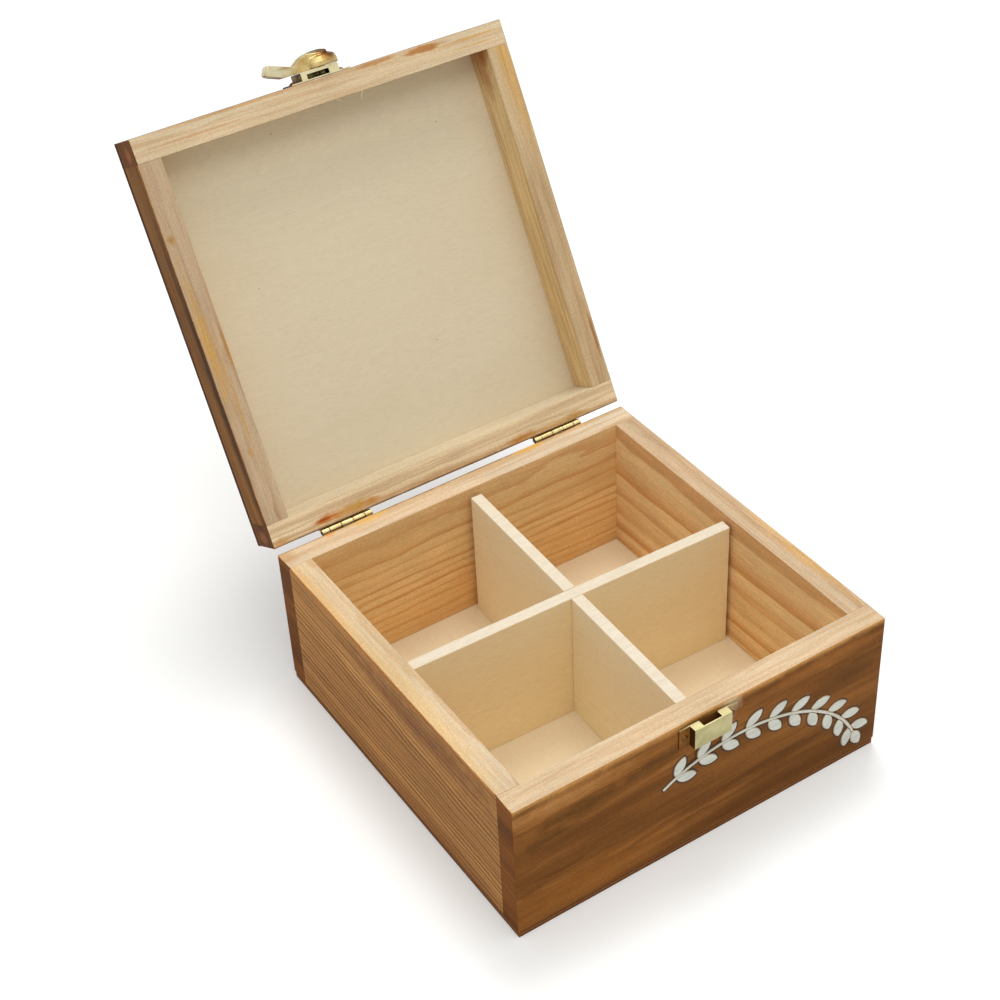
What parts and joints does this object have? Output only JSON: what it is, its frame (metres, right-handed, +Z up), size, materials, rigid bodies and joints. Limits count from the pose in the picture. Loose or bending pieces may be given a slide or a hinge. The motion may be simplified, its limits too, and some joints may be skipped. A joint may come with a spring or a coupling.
{
  "type": "wooden box",
  "caption": "Square pine keepsake box with a hinged lid held open by stops, a swing latch, a lift-out cross divider and a white leaf sprig on the front.",
  "frame": {"origin": "centre of the underside of the bottom panel", "axes": "+X to the right along the latch face, +Y from the latch face to the hinges, +Z up"},
  "size_m": [0.16, 0.2588, 0.2117],
  "materials": {
    "pine": "pine boards, stained mid brown outside, bare and pale inside and on the rims",
    "plywood": "sanded bare plywood",
    "latch_brass": "thin bright brass plating on pressed steel",
    "hinge_brass": "thin brass plating on pressed steel",
    "white_paint": "thick matt white paint"
  },
  "bodies": {
    "box": {"front_board": "pine", "back_board": "pine", "left_board": "pine", "right_board": "pine", "bottom_panel": "plywood", "catch_plate": "latch_brass", "catch_nails": "latch_brass", "hinge_left_box_leaf": "hinge_brass", "hinge_right_box_leaf": "hinge_brass", "hinge_left_pin": "hinge_brass", "hinge_right_pin": "hinge_brass", "hinge_box_nails": "latch_brass", "leaf_inlays": "white_paint"},
    "lid": {"lid_front_rail": "pine", "lid_back_rail": "pine", "lid_left_rail": "pine", "lid_right_rail": "pine", "lid_top_panel": "plywood", "hinge_left_lid_leaf": "hinge_brass", "hinge_right_lid_leaf": "hinge_brass", "hinge_lid_nails": "latch_brass", "latch_bracket": "latch_brass", "latch_nails": "latch_brass"},
    "latch": {"latch_lever": "latch_brass", "latch_hook": "latch_brass", "latch_rivet": "latch_brass"},
    "divider": {"long_divider": "plywood", "cross_divider": "plywood"}
  },
  "joints": [
    {"name": "lid_hinge", "type": "hinge", "parent": "box", "child": "lid", "pos_m": [0, 0.08135, 0.063], "axis": [1, 0, 0], "range_deg": [0, 119]},
    {"name": "latch_turn", "type": "hinge", "parent": "lid", "child": "latch", "pos_m": [0.003, 0.16395, 0.2017], "axis": [0, 0.4848, 0.8746], "range_deg": [0, 78]},
    {"name": "divider_lift", "type": "slide", "parent": "box", "child": "divider", "axis": [0, 0, 1], "range_m": [0, 0.01]}
  ]
}
